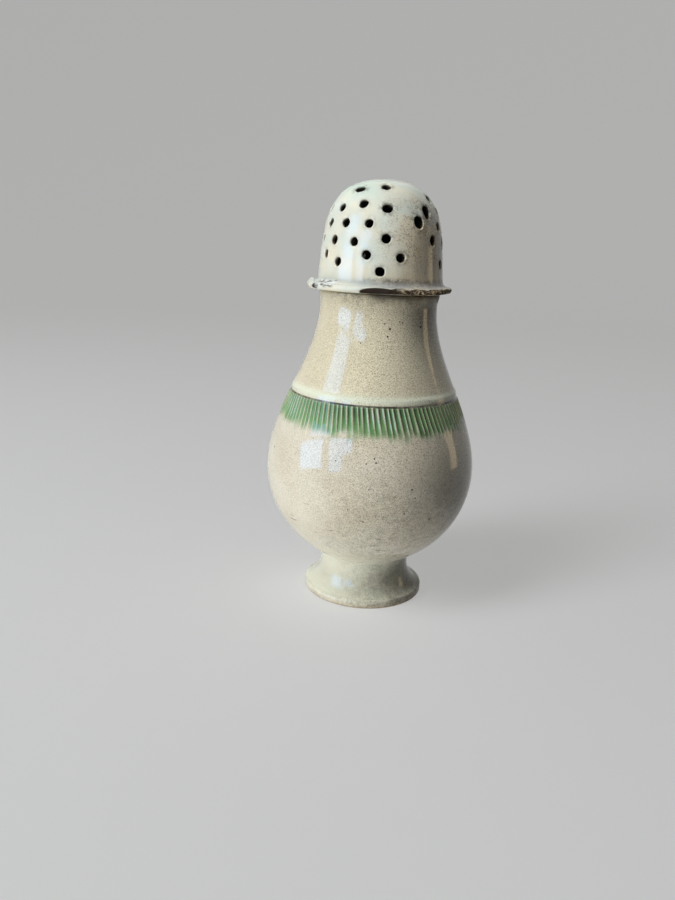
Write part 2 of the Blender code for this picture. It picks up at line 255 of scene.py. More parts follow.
def blended(table, cell, share):
    """Values of a table between the corners of its cells; cells beyond its end begin again."""
    total = np.zeros(len(cell))
    for corner in np.ndindex((2,) * cell.shape[1]):
        weight = np.prod(np.where(corner, share, 1 - share), axis=1)
        total += weight * table[tuple(((cell + corner) % table.shape).T)]
    return total


def noise(points, size, seed):
    """Smooth noise between -1 and 1 whose bumps are about size apart."""
    table = np.random.default_rng(seed).uniform(-1.0, 1.0, (NOISE_CELLS,) * 3)
    scaled = points / size
    cell = np.floor(scaled).astype(int)
    return blended(table, cell, smooth(0.0, 1.0, scaled - cell))


def bezier(start, start_handle, end_handle, end, steps=60):
    """Points (radius, height) along a curve segment."""
    t = np.linspace(0.0, 1.0, steps + 1)[:, None]
    corners = np.array([start, start_handle, end_handle, end])
    weights = np.hstack([(1 - t) ** 3, 3 * (1 - t) ** 2 * t, 3 * (1 - t) * t * t, t ** 3])
    return weights @ corners


def ellipse(centre, radii, first, last, steps=40):
    """Points of an arc between two angles in degrees, round or with a radius for each axis."""
    angles = np.radians(np.linspace(first, last, steps + 1))[:, None]
    return np.array(centre) + np.array(radii) * np.hstack([np.cos(angles), np.sin(angles)])


def lengths(line):
    """Length along the line at each of its points."""
    steps = np.hypot(*np.diff(line, axis=0).T)
    return np.concatenate([[0.0], np.cumsum(steps)])


def at_lengths(places, along, line):
    """Points of a line at some lengths along it."""
    return np.stack([np.interp(places, along, column) for column in line.T], axis=1)


def even(line, spacing):
    """The same line with points at an even spacing."""
    along = lengths(line)
    places = np.linspace(0.0, along[-1], max(2, int(round(along[-1] / spacing)) + 1))
    return at_lengths(places, along, line)


def normals(line):
    """Unit vectors to the left of a line that runs down, which is away from the axis."""
    along = np.gradient(line, axis=0)
    along /= np.hypot(along[:, 0], along[:, 1])[:, None]
    return np.stack([-along[:, 1], along[:, 0]], axis=1)


def softened(corners, reach):
    """A broken line whose corners are cut off at reach, so that they shade as small rounds."""
    points = [corners[0]]
    for before, corner, after in zip(corners, corners[1:], corners[2:]):
        for other in (before, after):
            step = np.subtract(other, corner)
            points.append(tuple(corner + step / np.hypot(*step) * reach))
    return points + [corners[-1]]


def turned(radius, turn, height):
    """Points at a radius and a turn from the front."""
    radius, turn, height = np.broadcast_arrays(radius, turn, height)
    return np.stack([radius * np.sin(turn), -radius * np.cos(turn), height], axis=-1)


def turns(points):
    return np.arctan2(points[:, 0], -points[:, 1])


def reach_of(points):
    """Distance of points from the axis."""
    return np.hypot(points[:, 0], points[:, 1])


def towards(turn, degrees):
    """1 where the surface looks to that side, given in degrees, and -1 where it looks away."""
    return np.cos(turn - math.radians(degrees))


def rings_of(line, sides):
    """A ring of evenly spaced points for every point of a line."""
    turn = 2 * math.pi * np.arange(sides) / sides
    return [turned(radius, turn, level) for radius, level in line]


# Meshes

def stitch(upper, lower):
    """Faces between two rings, given as lists of point numbers of any two counts."""
    faces = []
    above = below = 0
    while above < len(upper) or below < len(lower):
        next_above = (above + 1) / len(upper)
        next_below = (below + 1) / len(lower)
        face = [upper[above % len(upper)], lower[below % len(lower)]]
        if next_below <= next_above:
            below += 1
            face.append(lower[below % len(lower)])
        if next_above <= next_below:
            above += 1
            face.append(upper[above % len(upper)])
        face = list(dict.fromkeys(face))
        if len(face) > 2:
            faces.append(face)
    return faces


def lathe(rings, closed):
    """Points and faces of a wall through rings of points; closed joins the last to the first."""
    numbers = []
    count = 0
    for ring in rings:
        numbers.append(list(range(count, count + len(ring))))
        count += len(ring)
    pairs = list(zip(numbers, numbers[1:]))
    if closed:
        pairs.append((numbers[-1], numbers[0]))
    faces = [face for upper, lower in pairs for face in stitch(upper, lower)]
    return np.concatenate(rings), faces


def add_mesh(name, points, faces, marks):
    """A smooth object from points and faces, with a named value per point for each mark."""
    mesh = bpy.data.meshes.new(name)
    mesh.from_pydata(points.tolist(), [], faces)
    for mark, values in marks.items():
        layer = mesh.attributes.new(mark, "FLOAT", "POINT")
        layer.data.foreach_set("value", np.ascontiguousarray(values, dtype=np.float32))
    mesh.shade_smooth()
    mesh.update()
    obj = bpy.data.objects.new(name, mesh)
    bpy.context.scene.collection.objects.link(obj)
    return obj


# Pot

def shoulder_line():
    return bezier(
        (NECK_RADIUS, NECK_LEVEL),
        (NECK_RADIUS, NECK_LEVEL - NECK_EASE),
        (BULB_RADIUS, BULB_LEVEL + SHOULDER_FULLNESS),
        (BULB_RADIUS, BULB_LEVEL),
        steps=400,
    )


def pot_outside():
    """Outside of the pot from the rounded edge of its mouth to the ring it stands on."""
    edge = FOOT_ROUNDING
    mouth_bend = (NECK_RADIUS, NECK_LEVEL + (MOUTH_LEVEL - NECK_LEVEL) / 3)
    stem_bend = (WAIST_RADIUS, (WAIST_LEVEL + STEM_LEVEL) / 2)
    sweep_bend = (WAIST_RADIUS, (FOOT_EDGE + WAIST_LEVEL) / 2)
    edge_bend = ((WAIST_RADIUS + FOOT_RADIUS) / 2, FOOT_EDGE)
    stem_angle = -math.degrees(math.acos(STEM_RADIUS / BULB_RADIUS))
    foot_top = (FOOT_RADIUS - edge, FOOT_EDGE)
    waist = (WAIST_RADIUS, WAIST_LEVEL)
    mouth = bezier((MOUTH_RADIUS, MOUTH_LEVEL - edge), mouth_bend, mouth_bend, (NECK_RADIUS, NECK_LEVEL))
    shoulder = shoulder_line()
    bulb = ellipse((0.0, BULB_LEVEL), (BULB_RADIUS, BULB_HALF_HEIGHT), 0, stem_angle, steps=90)
    above = shoulder[:, 1] >= BAND_TOP
    below = shoulder[:, 1] <= BAND_BOTTOM
    stretches = [
        ellipse((MOUTH_RADIUS - edge, MOUTH_LEVEL - edge), edge, 90, 0, steps=4),
        even(mouth, PLAIN_STEP),
        even(shoulder[above], PLAIN_STEP),
        even(shoulder[~above & ~below], BAND_STEP),
        even(shoulder[below], PLAIN_STEP),
        even(bulb, PLAIN_STEP),
        even(bezier((STEM_RADIUS, STEM_LEVEL), stem_bend, stem_bend, waist), FOOT_STEP),
        even(bezier(waist, sweep_bend, edge_bend, foot_top), FOOT_STEP),
        ellipse((FOOT_RADIUS - edge, FOOT_EDGE - edge), edge, 90, 0, steps=6),
        ellipse((FOOT_RADIUS - edge, edge), edge, 0, -90, steps=6),
    ]
    return np.concatenate([stretches[0]] + [stretch[1:] for stretch in stretches[1:]])


def pot_inside():
    """From the foot's ring up through the filling hole and the hollow to the mouth."""
    first = -math.degrees(math.acos(FLOOR_REACH / HOLLOW_RADII[0]))
    shoulder = shoulder_line()
    shoulder = shoulder - WALL * normals(shoulder)
    below = softened(
        [
            (FOOT_RADIUS - FOOT_RING + FOOT_ROUNDING, 0.0),
            (FOOT_RADIUS - FOOT_RING, 0.0),
            (WAIST_RADIUS - WALL, CEILING_LEVEL),
            (FILLING_HOLE_RADIUS, CEILING_LEVEL),
            (FILLING_HOLE_RADIUS - CORK_TAPER * FLOOR, FLOOR_LEVEL),
            (FLOOR_REACH, FLOOR_LEVEL),
        ],
        reach=INNER_ROUNDING,
    )
    stretches = [
        np.array(below[:-1]),
        even(ellipse((0.0, BULB_LEVEL), HOLLOW_RADII, first, 0), INNER_STEP),
        even(shoulder[::-1], INNER_STEP)[1:],
        np.array([(MOUTH_RADIUS - WALL, MOUTH_LEVEL - FOOT_ROUNDING), (MOUTH_RADIUS - WALL, MOUTH_LEVEL)]),
    ]
    return np.concatenate(stretches)


def column_turns():
    """Turns of the band's columns of points; the first of each pitch lies in an uneven groove."""
    shifts = np.random.default_rng(11).uniform(-REED_SHIFT, REED_SHIFT, REEDS)
    grooves = 2 * math.pi * (np.arange(REEDS) + shifts) / REEDS
    after = np.append(grooves[1:], grooves[0] + 2 * math.pi)
    shares = np.arange(REED_COLUMNS) / REED_COLUMNS
    return (grooves[:, None] + (after - grooves)[:, None] * shares).ravel()


def groove_depth(level):
    """Depth share of every column at one level: full in a groove, none on a reed's crest."""
    random = np.random.default_rng(12)
    ends = BAND_LEVEL + random.uniform(*REED_ENDS, REEDS)
    starts = LINE_LEVEL + random.uniform(*REED_STARTS, REEDS)
    strength = random.uniform(*REED_STRENGTH, REEDS)
    cut = strength * smooth(ends, ends + REED_FADE, level) * smooth(starts, starts - REED_STOP, level)
    left = np.arange(REED_COLUMNS) < REED_CREST
    nearer = np.where(left, cut[:, None], np.roll(cut, -1)[:, None])
    return (nearer * REED_SECTION).ravel()


def band_profile(levels):
    """Swell and cut of the plain rings above the band, along the surface's normal."""
    swell = BEAD_SWELL * bell(levels, BEAD_LEVEL, 0.6 * BEAD_WIDTH)
    return swell - CUT_DEPTH * bell(levels, CUT_LEVEL, 0.6 * CUT_WIDTH)


def lean_at(level, radius):
    """Turn by which the reeds' lean has moved a column at a level below the cut line."""
    drop = np.clip(LINE_LEVEL - level, 0.0, LINE_LEVEL - BAND_LEVEL)
    return drop * math.tan(REED_LEAN) / radius


def outside_rings():
    """Rings of points down the outside, dense in the band, with each point's place in a reed."""
    line = pot_outside()
    columns = column_turns()
    places = np.tile(np.stack([REED_SECTION, REED_SHADE], axis=1), (REEDS, 1))
    rings = []
    reeds = []
    for (radius, level), out in zip(line, normals(line)):
        skip = 1 if BAND_BOTTOM < level < BAND_TOP else 2
        depth = groove_depth(level)[::skip]
        push = band_profile(level) - REED_DEPTH * depth
        turn = columns[::skip] + lean_at(level, radius)
        rings.append(turned(radius + out[0] * push, turn, level + out[1] * push))
        reeds.append(places[::skip])
    return rings, np.concatenate(reeds)


def pot_marks(points, floor, shade, inner):
    """Where the pot's surface is green, pooled, stained, bare or painted in shade, one value per point."""
    turn = turns(points)
    degrees = np.degrees(turn)
    level = points[:, 2]
    outer = 1 - inner
    patchy = noise(points, 0.004, seed=21)
    ragged = BAND_LEVEL + 0.0004 + 0.0014 * noise(points, 0.0022, seed=22)
    band = smooth(ragged - 0.0024, ragged + 0.0012, level) * smooth(CUT_LEVEL, LINE_LEVEL, level)
    left = smooth(-5, -60, degrees)
    # Where shady is high, on the right, the extra green and darker glaze in the band are painted shade
    shady = smooth(-0.1, 0.5, np.sin(turn))
    wash = 0.08 + 0.18 * patchy + 0.30 * left + 0.20 * shady
    wash += (0.28 + 0.25 * patchy) * smooth(*GREEN_WASH, level)
    between = (0.85 + 0.15 * patchy) * smooth(0.22, 0.75, floor)
    high = smooth(BAND_LEVEL + 0.0010, LINE_LEVEL - 0.0010, level)
    right = smooth(-0.2, 0.9, towards(turn, 55))
    return {
        "green": outer * band * held(wash + between),
        # Glaze pooled in the reed floors, with painted shade right of each crest and over the pot's right
        "deep_and_shaded": outer * band * shade * (0.25 + 0.75 * np.maximum(high, shady)) * (1 - 0.70 * left),
        "bead": outer * bell(level, BEAD_LEVEL, BEAD_WIDTH),
        "pool": outer * pot_pool(level, patchy),
        "stain": outer * pot_stain_and_shadow(turn, level, patchy),
        "soot_and_shadow": outer * pot_soot_and_shadow(degrees, level, patchy),
        "iron": held(0.20 + 0.70 * right + 0.20 * patchy + 0.15 * (level > BAND_TOP)),
        "bare": smooth(*BARE_FOOT, level),
        # Painted shade over the pot's inside
        "inside": inner * smooth(*DARK_INSIDE, level),
        "hollow": inner * smooth(*FOOT_HOLLOW, level),
    }


def pot_pool(level, patchy):
    """Bluish glaze gathered under the bulb and at the waist."""
    pooled = 0.45 * smooth(*POOL_UNDER_BULB, level) + 0.45 * smooth(*POOL_AT_WAIST, level)
    return held(pooled + 0.25 * patchy * (level < POOL_LIMIT))


def pot_stain_and_shadow(turn, level, patchy):
    """Dirt and painted shadow below the flange, most on the front's right, and dirt thinly over the lower
    right.
    """
    seam = smooth(*STAIN_AND_SHADOW_UNDER_FLANGE, level) * smooth(-0.3, 0.7, towards(turn, 35))
    low = 0.35 * smooth(-0.2, 0.9, towards(turn, 50)) * smooth(*STAIN_LOW, level)
    foot = 0.6 * smooth(*STAIN_AT_FOOT, level)
    return held(seam * (0.75 + 0.3 * patchy) + low + foot)


def pot_soot_and_shadow(degrees, level, patchy):
    """Dark dirt and painted shadow on the neck right under the broken part of the flange."""
    return window(*SOOT_AND_SHADOW_TURNS, degrees) * smooth(*SOOT_AND_SHADOW_LEVELS, level + 0.0008 * patchy)


def make_pot_body():
    rings, reeds = outside_rings()
    points, faces = lathe(rings + rings_of(pot_inside(), INNER_SIDES), closed=True)
    level = points[:, 2]
    inner = np.arange(len(points)) >= len(reeds)
    floor, shade = np.vstack([reeds, np.zeros((len(points) - len(reeds), 2))]).T
    sway = 0.5 + 0.5 * noise(points, SWAY_SIZE, seed=31)
    ripple = 0.5 + 0.5 * noise(points * (1, 1, 3), RIPPLE_SIZE, seed=32)
    dent = (SWAY_DEPTH * sway + RIPPLE_DEPTH * ripple) * window(*DENTED, level) * ~inner
    points[:, :2] *= (1 - dent / reach_of(points))[:, None]
    pot = add_mesh("pot_shell", points, faces, pot_marks(points, floor, shade, inner.astype(float)))
    pot.data.materials.append(pot_glaze())
    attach(pot, "pot")
    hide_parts("pot_body")
    return pot


# Domed top

def dome_line():
    """Outside of the dome from its apex down to where the flange's fillet begins."""
    lean = (DOME_RADIUS - CROWN_RADIUS) / (CROWN_LEVEL - DOME_LEVEL)
    rise = CROWN_FULLNESS * (APEX_LEVEL - CROWN_LEVEL)
    crown = bezier(
        (0.0, APEX_LEVEL),
        (CROWN_FULLNESS * CROWN_RADIUS, APEX_LEVEL),
        (CROWN_RADIUS - lean * rise, CROWN_LEVEL + rise),
        (CROWN_RADIUS, CROWN_LEVEL),
    )
    return np.vstack([crown, [(DOME_RADIUS, DOME_LEVEL)]])


def flange_line():
    """Fillet and rounded rim of the flange, from the dome's side to the underside."""
    rim = FLANGE_THICKNESS / 2
    centre = (FLANGE_RADIUS - rim, UNDER_FLANGE + rim)
    fillet = (centre[0] - DOME_RADIUS, DOME_LEVEL - UNDER_FLANGE - FLANGE_THICKNESS)
    return np.vstack(
        [
            ellipse((centre[0], DOME_LEVEL), fillet, 180, 270, steps=12)[1:],
            ellipse(centre, rim, 90, -90, steps=16)[1:],
        ]
    )


def top_outline():
    """Closed outline of the top's section, from the apex round to the inner apex."""
    outside = dome_line()
    inner = (outside - DOME_WALL * normals(outside))[::-1]
    inner[-1, 0] = 0.0
    spigot = np.array(
        [
            (SPIGOT_RADIUS, UNDER_FLANGE),
            (SPIGOT_RADIUS, UNDER_FLANGE - SPIGOT_DEPTH),
            (SPIGOT_BORE, UNDER_FLANGE - SPIGOT_DEPTH),
            (SPIGOT_BORE, UNDER_FLANGE),
        ]
    )
    return np.vstack([outside, flange_line(), spigot, inner])


def section_distance(outline, radius, height):
    """Distance from a closed section, negative inside; its closing edge lies on the axis."""
    points = np.stack([radius.ravel(), height.ravel()], axis=1)
    nearest = np.full(len(points), np.inf)
    inside = np.zeros(len(points), bool)
    closed = np.vstack([outline, outline[:1]])
    for index, (first, last) in enumerate(zip(closed, closed[1:])):
        step = last - first
        if index < len(outline) - 1:
            share = held((points - first) @ step / (step @ step))
            gap = points - first - share[:, None] * step
            nearest = np.minimum(nearest, np.hypot(gap[:, 0], gap[:, 1]))
        if step[1] != 0.0:
            spans = (first[1] > points[:, 1]) != (last[1] > points[:, 1])
            crossing = first[0] + (points[:, 1] - first[1]) / step[1] * step[0]
            inside ^= spans & (points[:, 0] < crossing)
    return np.where(inside, -nearest, nearest).reshape(radius.shape)


class Section:
    """Distance from a turned form, looked up in a fine grid over its section."""

    STEP = 0.00008
    MARGIN = 0.002
    LOW = np.array([0.0, UNDER_FLANGE - 2 * SPIGOT_DEPTH])
    HIGH = np.array([FLANGE_RADIUS, APEX_LEVEL]) + MARGIN

    def __init__(self, outline):
        counts = np.ceil((self.HIGH - self.LOW) / self.STEP).astype(int) + 1
        radii = self.LOW[0] + self.STEP * np.arange(counts[0])
        heights = self.LOW[1] + self.STEP * np.arange(counts[1])
        self.grid = section_distance(outline, *np.meshgrid(radii, heights, indexing="ij"))

    def distance(self, points):
        place = np.stack([reach_of(points), points[:, 2]], axis=1)
        place = (place - self.LOW) / self.STEP
        limit = np.array(self.grid.shape) - 2
        cell = np.clip(np.floor(place).astype(int), 0, limit)
        return blended(self.grid, cell, held(place - cell))


def piercings():
    """Every hole: row and place, length up the dome's side and turn from the front."""
    climb = dome_line()[::-1]
    along = lengths(climb)
    crown_length = np.interp(-CROWN_RING_RADIUS, -climb[:, 0], along)
    rows = [(CROWN, crown_length, CROWN_PIERCINGS, 0.0)]
    for row in range(PIERCING_ROWS):
        stagger = 0.5 if row % 2 == 0 else 0.0
        rows.append((row, PIERCING_START + row * PIERCING_PITCH, PIERCINGS_PER_ROW, stagger))
    holes = [(None, LOW_PIERCING_LENGTH, LOW_PIERCING_TURN)]
    for row, length, places, stagger in rows:
        for place in range(places):
            if (row, place) not in MISSED:
                degrees, rise = STRAYS[row].get(place, (0, 0.0))
                turn = 2 * math.pi * (place + stagger) / places + math.radians(degrees)
                holes.append(((row, place), length + rise, turn))
    return holes


class Piercings:
    """The holes of the dome as slightly uneven pins, each with its own lobes."""

    REACH = 0.0045
    SIZES = (0.94, 1.06)
    LOBES = (0.005, 0.035)

    def __init__(self):
        climb = even(dome_line(), DOME_STEP)[::-1]
        along = lengths(climb)
        named = piercings()
        length, turn = np.array([hole[1:] for hole in named]).T
        middle = at_lengths(length, along, climb)
        out = at_lengths(length, along, -normals(climb))
        self.centres = turned(middle[:, 0], turn, middle[:, 1])
        self.axes = turned(out[:, 0], turn, out[:, 1])
        self.axes /= np.linalg.norm(self.axes, axis=1)[:, None]
        self.sides = turned(1.0, turn + math.pi / 2, 0.0)
        random = np.random.default_rng(41)
        self.sizes = PIERCING_RADIUS * random.uniform(*self.SIZES, len(named))
        self.growth = np.array([TORN.get(hole[0], (1.0, 1.0)) for hole in named])
        self.lobes = random.uniform(*self.LOBES, (len(named), 3))
        self.phases = random.uniform(0.0, 2 * math.pi, (len(named), 3))

    def nearest(self, points):
        """Number of the hole nearest to each point."""
        return np.argmin([np.linalg.norm(points - centre, axis=1) for centre in self.centres], axis=0)

    def distance(self, points, number):
        """Distance from the pin of that number, negative inside it."""
        gap = points - self.centres[number]
        axis = self.axes[number]
        depth = np.sum(gap * axis, axis=1)
        across = gap - depth[:, None] * axis
        side = np.sum(across * self.sides[number], axis=1) / self.growth[number, 0]
        rise = np.sum(across * np.cross(axis, self.sides[number]), axis=1) / self.growth[number, 1]
        angle = np.arctan2(rise, side)
        wave = sum(
            self.lobes[number, k] * np.cos((k + 2) * angle + self.phases[number, k]) for k in range(3)
        )
        radial = np.hypot(side, rise) - self.sizes[number] * (1 + wave)
        return np.maximum(radial, np.abs(depth) - self.REACH)


def scoop(points, turn, radius, level, size):
    """Distance from an egg-shaped bite at a turn in degrees; size is along, out and up."""
    angle = math.radians(turn)
    gap = points - turned(radius, angle, level)
    along, out = turned(1.0, np.array([angle + math.pi / 2, angle]), 0.0)
    scaled = np.stack([gap @ along, gap @ out, gap[:, 2]], axis=1) / size
    reach = np.linalg.norm(scaled, axis=1)
    slope = np.linalg.norm(scaled / size, axis=1)
    return reach * (reach - 1) / np.maximum(slope, 1e-6)


# Bites out of the flange: turn in degrees, radius, height, and size along, out and up
SMOOTH_CHIP = (-3.5, 0.0210, 0.0900, (0.0064, 0.0027, 0.0022))
FLAKES = (
    (-64, 0.0206, 0.0914, (0.0019, 0.0015, 0.0010)),
    (-52, 0.0201, 0.0923, (0.0024, 0.0008, 0.0004)),
    (158, 0.0206, 0.0906, (0.0022, 0.0009, 0.0008)),
)
# A blob of glaze on the rim, placed in the same way
BLOB = (-82, 0.0191, 0.0917, (0.0036, 0.0014, 0.0015))
BROKEN_RIM = (0.0207, 0.0900)
BROKEN_DEPTH = 0.0020
BROKEN_TURNS = ((-4, 6), (98, 80))


def chips(points):
    """Distance from all that has broken off the flange, negative where clay is missing."""
    rough = 0.00010 * noise(points, 0.0007, seed=51) + 0.00005 * noise(points, 0.0003, seed=52)
    gap = scoop(points, *SMOOTH_CHIP) + 0.3 * rough
    for flake in FLAKES:
        gap = np.minimum(gap, scoop(points, *flake) + 0.7 * rough)
    share = window(*BROKEN_TURNS, np.degrees(turns(points)))
    wavy = BROKEN_DEPTH * (1 + 0.25 * noise(points * (1, 1, 0), 0.0023, seed=53))
    ring = np.hypot(reach_of(points) - BROKEN_RIM[0], points[:, 2] - BROKEN_RIM[1])
    broken = ring - wavy * share + 0.0015 * (1 - share) + 2.4 * rough
    return np.minimum(gap, broken)


class Top:
    """Distance from the pierced and chipped top, negative inside the clay."""

    LIP = 0.00030
    RIDGE = 0.00014
    RIDGE_WIDTH = 0.00045
    CHIP_EDGE = 0.00012
    PROBE = 0.00003
    LONGEST_STEP = 0.0003

    def __init__(self):
        self.shell = Section(top_outline())
        self.pins = Piercings()

    def distance(self, points, number):
        solid = -self.trimmed(-self.shell.distance(points), -scoop(points, *BLOB), self.LIP)
        to_hole = self.pins.distance(points, number)
        solid = solid - self.RIDGE * bell(to_hole, 0.0, self.RIDGE_WIDTH)
        solid = self.trimmed(solid, -to_hole, self.LIP)
        return self.trimmed(solid, -chips(points), self.CHIP_EDGE)

    @staticmethod
    def trimmed(solid, cut, edge):
        """The larger of both distances, with the corner between them rounded."""
        overlap = np.clip(edge - np.abs(solid - cut), 0.0, None)
        return np.maximum(solid, cut) + overlap * overlap / (4 * edge)

    def settle(self, points, number):
        """Points moved straight onto the surface."""
        for _ in range(3):
            here = self.distance(points, number)
            slope = np.stack(
                [self.distance(points + step, number) - here for step in np.eye(3) * self.PROBE], axis=1
            )
            slope /= np.maximum(np.linalg.norm(slope, axis=1), 1e-9)[:, None]
            points = points - np.clip(here, -self.LONGEST_STEP, self.LONGEST_STEP)[:, None] * slope
        return points


def even_net(node, voxel):
    """A copy of a CAD node's mesh as an even net of small faces."""
    bm = bmesh.new()
    bm.from_mesh(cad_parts[node].data)
    bmesh.ops.remove_doubles(bm, verts=bm.verts, dist=1e-6)
    mesh = bpy.data.meshes.new(node + "_net")
    bm.to_mesh(mesh)
    bm.free()
    net = bpy.data.objects.new(mesh.name, mesh)
    bpy.context.scene.collection.objects.link(net)
    remesh = net.modifiers.new("net", "REMESH")
    remesh.mode = "VOXEL"
    remesh.voxel_size = voxel
    remesh.adaptivity = 0.0
    evaluated = net.evaluated_get(bpy.context.evaluated_depsgraph_get()).to_mesh()
    points = np.empty(len(evaluated.vertices) * 3)
    evaluated.vertices.foreach_get("co", points)
    faces = [list(face.vertices) for face in evaluated.polygons]
    edges = np.empty(len(evaluated.edges) * 2, int)
    evaluated.edges.foreach_get("vertices", edges)
    bpy.data.objects.remove(net, do_unlink=True)
    return points.reshape(-1, 3), faces, edges.reshape(-1, 2)


def relaxed(points, edges):
    """Every point moved halfway to the middle of its neighbours."""
    total = np.zeros_like(points)
    count = np.zeros(len(points))
    for first, last in ((0, 1), (1, 0)):
        np.add.at(total, edges[:, first], points[edges[:, last]])
        np.add.at(count, edges[:, first], 1)
    return 0.5 * points + 0.5 * total / count[:, None]


def top_marks(points, top, number):
    """Where the top is bare, stained, pooled or out of the light, one value per point."""
    turn = turns(points)
    degrees = np.degrees(turn)
    level = points[:, 2]
    inner = reach_of(points) < inner_radius(level)
    depth = -top.shell.distance(points)
    to_hole = top.pins.distance(points, number)
    hole = smooth(*HOLE_RIM, to_hole)
    in_hole = hole * smooth(*HOLE_SIDE, depth)
    chipped = smooth(0.00010, 0.00002, np.abs(chips(points))) * smooth(0.00002, 0.00006, depth)
    patchy = noise(points, 0.005, seed=61)
    facing = towards(turn, 60)
    torn = np.any(top.pins.growth != 1.0, axis=1)[number]
    dirty = held(0.15 + 0.7 * smooth(-0.1, 0.9, facing) + 0.5 * torn)
    around = dirty * smooth(*HOLE_DIRT, to_hole) * ~inner
    front = window(*SEAM_TURNS, degrees)
    fillet = bell(level, *FILLET_POOL) * ~inner
    seam = fillet * front
    ring = front * bell(level, *SEAM_RING) * ~inner
    return {
        "bare": chipped * (1 - in_hole),
        "hole": in_hole,
        # Painted shade deep in the holes and over the top's inside
        "deep_and_shaded": hole * smooth(*HOLE_DEEP, depth),
        "inside": inner.astype(float),
        "pool": held(fillet * (0.65 + 0.3 * patchy)),
        "seam": held(seam * (0.9 + 0.4 * patchy)),
        "stain": held(0.4 * seam + ring * (0.9 + 0.5 * patchy) + 0.9 * around),
        "freckle": smooth(0.20, 0.90, facing) * window(*FRECKLED, level) * ~inner,
        "buff": buff_share(turn, level, patchy),
        "crown": smooth(*CROWN_LEVELS, level) * smooth(0.003, -0.009, points[:, 0] + 0.003 * patchy),
        # Painted shade in the chips on the front and left, as in the undercut chip
        "dark": chipped * smooth(*SHADED_CHIP, degrees + 14 * patchy),
        "flake": smooth(*TIP_REACH, np.abs(degrees - TIP_TURN)) * window(*TIP_LEVELS, level) * ~inner,
    }


def inner_radius(level):
    """Radius just outside the inner wall of the top."""
    climb = dome_line()[::-1]
    inside = np.interp(level, climb[:, 1], climb[:, 0]) - 0.7 * DOME_WALL
    inside = np.where(level > APEX_LEVEL - 0.8 * DOME_WALL, 0.0, inside)
    return np.where(level < UNDER_FLANGE - 0.0001, SPIGOT_RADIUS - 0.0004, inside)


def buff_share(turn, level, patchy):
    """How buff the glaze is: whiter over the crown and the left, browner low and right."""
    low = smooth(*BUFF_LOW, level)
    right = smooth(-0.1, 0.7, np.sin(turn)) * smooth(*BUFF_RIGHT, level)
    return held(0.40 * low + 0.85 * right - 0.22 + 0.18 * patchy)


def make_domed_top():
    points, faces, edges = even_net("domed_top", DOME_VOXEL)
    top = Top()
    number = top.pins.nearest(points)
    points = top.settle(points, number)
    for _ in range(2):
        points = top.settle(relaxed(points, edges), number)
    obj = add_mesh("pierced_dome", points, faces, top_marks(points, top, number))
    obj.data.materials.append(top_glaze())
    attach(obj, "pot")
    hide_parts("domed_top")
    return obj


# Cork

def make_cork_bung():
    upper, lower = [
        FILLING_HOLE_RADIUS - CORK_TAPER * (level - CEILING_LEVEL) - CORK_GAP - CORK_EDGE
        for level in (CORK_TOP, CORK_LIFT)
    ]
    outline = np.vstack(
        [
            [(CORK_END, CORK_TOP)],
            ellipse((upper, CORK_TOP - CORK_EDGE), CORK_EDGE, 90, 0, steps=6),
            ellipse((lower, CORK_LIFT + CORK_EDGE), CORK_EDGE, 0, -90, steps=6),
            [(CORK_END, CORK_LIFT)],
        ]
    )
    points, faces = lathe(rings_of(even(outline, CORK_STEP), CORK_SIDES), closed=False)
    faces += [list(range(CORK_SIDES)), list(range(len(points) - CORK_SIDES, len(points)))[::-1]]
    pits = smooth(0.35, 0.75, noise(points * (1, 1, 2.2), 0.0016, seed=71))
    grain = smooth(0.1, 0.8, noise(points, 0.0006, seed=72))
    dent = 0.00035 * pits + 0.00007 * grain
    inward = np.array([0.0, 0.0, (CORK_TOP + CORK_LIFT) / 2]) - points
    inward[:, 2] *= 0.3
    inward /= np.linalg.norm(inward, axis=1)[:, None]
    points = points + dent[:, None] * inward
    cork = add_mesh("cork_stopper", points, faces, {"pit": pits})
    cork.data.materials.append(cork_finish())
    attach(cork, "cork")
    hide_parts("cork_bung")
    return cork


# Finishes

